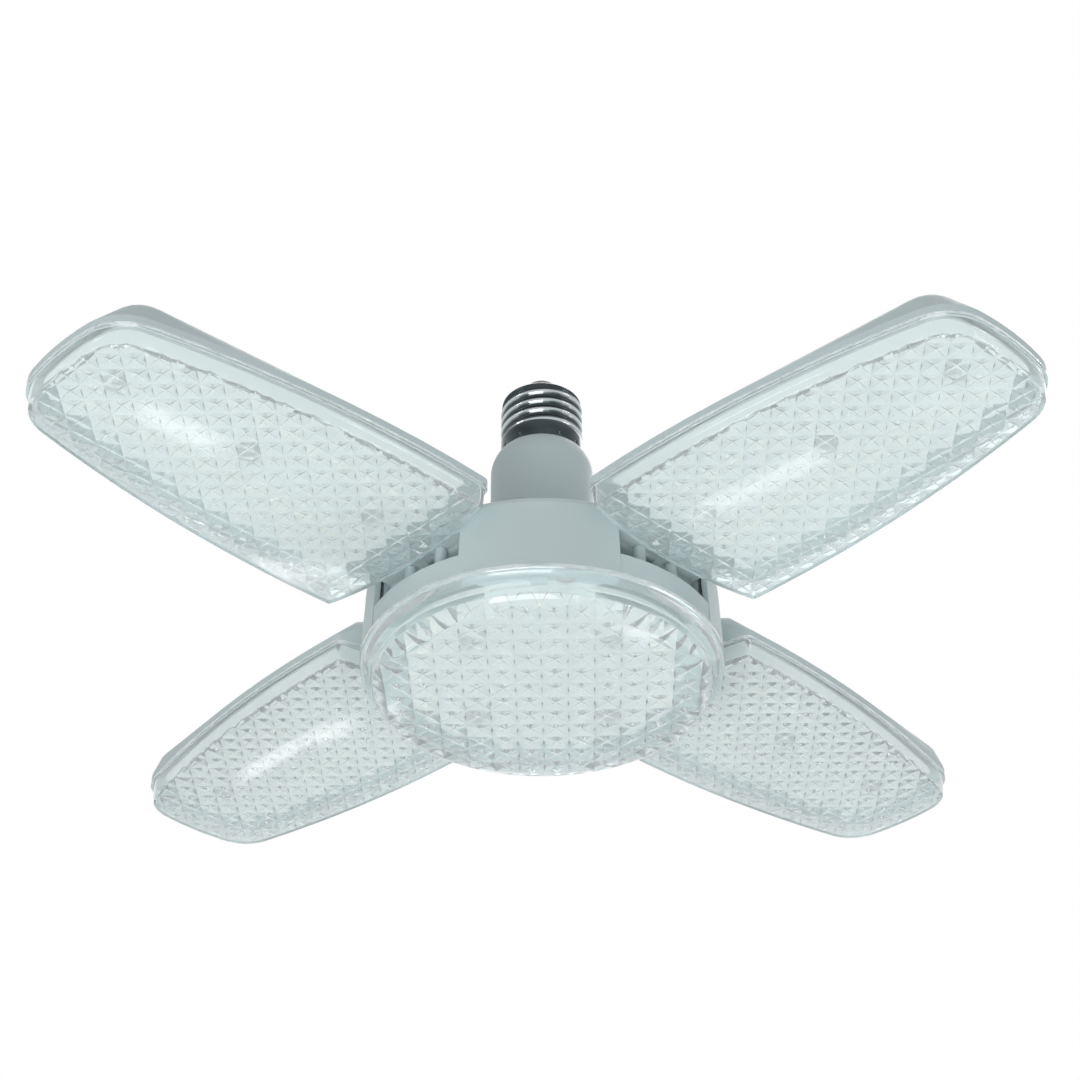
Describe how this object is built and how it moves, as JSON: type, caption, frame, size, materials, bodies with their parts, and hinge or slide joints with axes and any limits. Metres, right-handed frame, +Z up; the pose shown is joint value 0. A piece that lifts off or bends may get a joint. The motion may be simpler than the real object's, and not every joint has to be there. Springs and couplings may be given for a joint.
{
  "type": "folding blade led light",
  "caption": "Screw-in ceiling light with a round prismatic lens and leaf-shaped light panels that fold up on hinges.",
  "frame": {"origin": "middle of the flat end contact of the screw cap, the highest point of the light", "axes": "+Z up along the cap towards the lampholder; the blades lie at 45, 135, 225 and 315 degrees from +X"},
  "size_m": [0.27, 0.27, 0.1187],
  "materials": {
    "cap_metal": "dark nickel plated",
    "cap_insulation": "moulded black insulator",
    "contact_metal": "stamped, nickel plated",
    "housing_plastic": "moulded, fine satin",
    "clear_lens": "clear moulded plastic with prisms",
    "board_white": "white solder mask",
    "led_phosphor": "phosphor in a white package",
    "steel": "zinc plated",
    "board_green": "green solder mask",
    "winding_tape": "yellow tape over a ferrite core",
    "capacitor_sleeve": "shrunk sleeve",
    "black_epoxy": "moulded epoxy",
    "fuse_body": "coated",
    "lead_red": "insulated wire",
    "lead_blue": "insulated wire",
    "lead_yellow": "insulated wire"
  },
  "bodies": {
    "hub": {"screw_shell": "cap_metal", "cap_insulator": "cap_insulation", "centre_contact": "contact_metal", "contact_lead": "lead_red", "shell_lead": "lead_blue", "neck_housing": "housing_plastic", "base_plate": "housing_plastic", "base_screws": "steel", "pin_blocks": "housing_plastic", "stop_pegs": "housing_plastic", "centre_board": "board_white", "centre_leds": "led_phosphor", "board_screws": "steel", "centre_lens": "clear_lens", "driver_board": "board_green", "transformer": "winding_tape", "capacitor": "capacitor_sleeve", "rectifier": "black_epoxy", "fuse": "fuse_body", "driver_leads": "lead_yellow", "hinge_bracket_1": "housing_plastic", "hinge_pin_1": "steel", "friction_washers_1": "steel", "hinge_bracket_2": "housing_plastic", "hinge_pin_2": "steel", "friction_washers_2": "steel", "hinge_bracket_3": "housing_plastic", "hinge_pin_3": "steel", "friction_washers_3": "steel", "hinge_bracket_4": "housing_plastic", "hinge_pin_4": "steel", "friction_washers_4": "steel"},
    "blade_1": {"blade_shell_1": "housing_plastic", "blade_lens_1": "clear_lens", "blade_board_1": "board_white", "blade_leds_1": "led_phosphor", "blade_screws_1": "steel"},
    "blade_2": {"blade_shell_2": "housing_plastic", "blade_lens_2": "clear_lens", "blade_board_2": "board_white", "blade_leds_2": "led_phosphor", "blade_screws_2": "steel"},
    "blade_3": {"blade_shell_3": "housing_plastic", "blade_lens_3": "clear_lens", "blade_board_3": "board_white", "blade_leds_3": "led_phosphor", "blade_screws_3": "steel"},
    "blade_4": {"blade_shell_4": "housing_plastic", "blade_lens_4": "clear_lens", "blade_board_4": "board_white", "blade_leds_4": "led_phosphor", "blade_screws_4": "steel"}
  },
  "joints": [
    {"name": "blade_1_fold", "type": "hinge", "parent": "hub", "child": "blade_1", "pos_m": [0.02991, 0.02991, -0.08772], "axis": [0.7071, -0.7071, 0], "range_deg": [0, 90]},
    {"name": "blade_2_fold", "type": "hinge", "parent": "hub", "child": "blade_2", "pos_m": [-0.02991, 0.02991, -0.08772], "axis": [0.7071, 0.7071, 0], "range_deg": [0, 90]},
    {"name": "blade_3_fold", "type": "hinge", "parent": "hub", "child": "blade_3", "pos_m": [-0.02991, -0.02991, -0.08772], "axis": [-0.7071, 0.7071, 0], "range_deg": [0, 90]},
    {"name": "blade_4_fold", "type": "hinge", "parent": "hub", "child": "blade_4", "pos_m": [0.02991, -0.02991, -0.08772], "axis": [-0.7071, -0.7071, 0], "range_deg": [0, 90]}
  ]
}
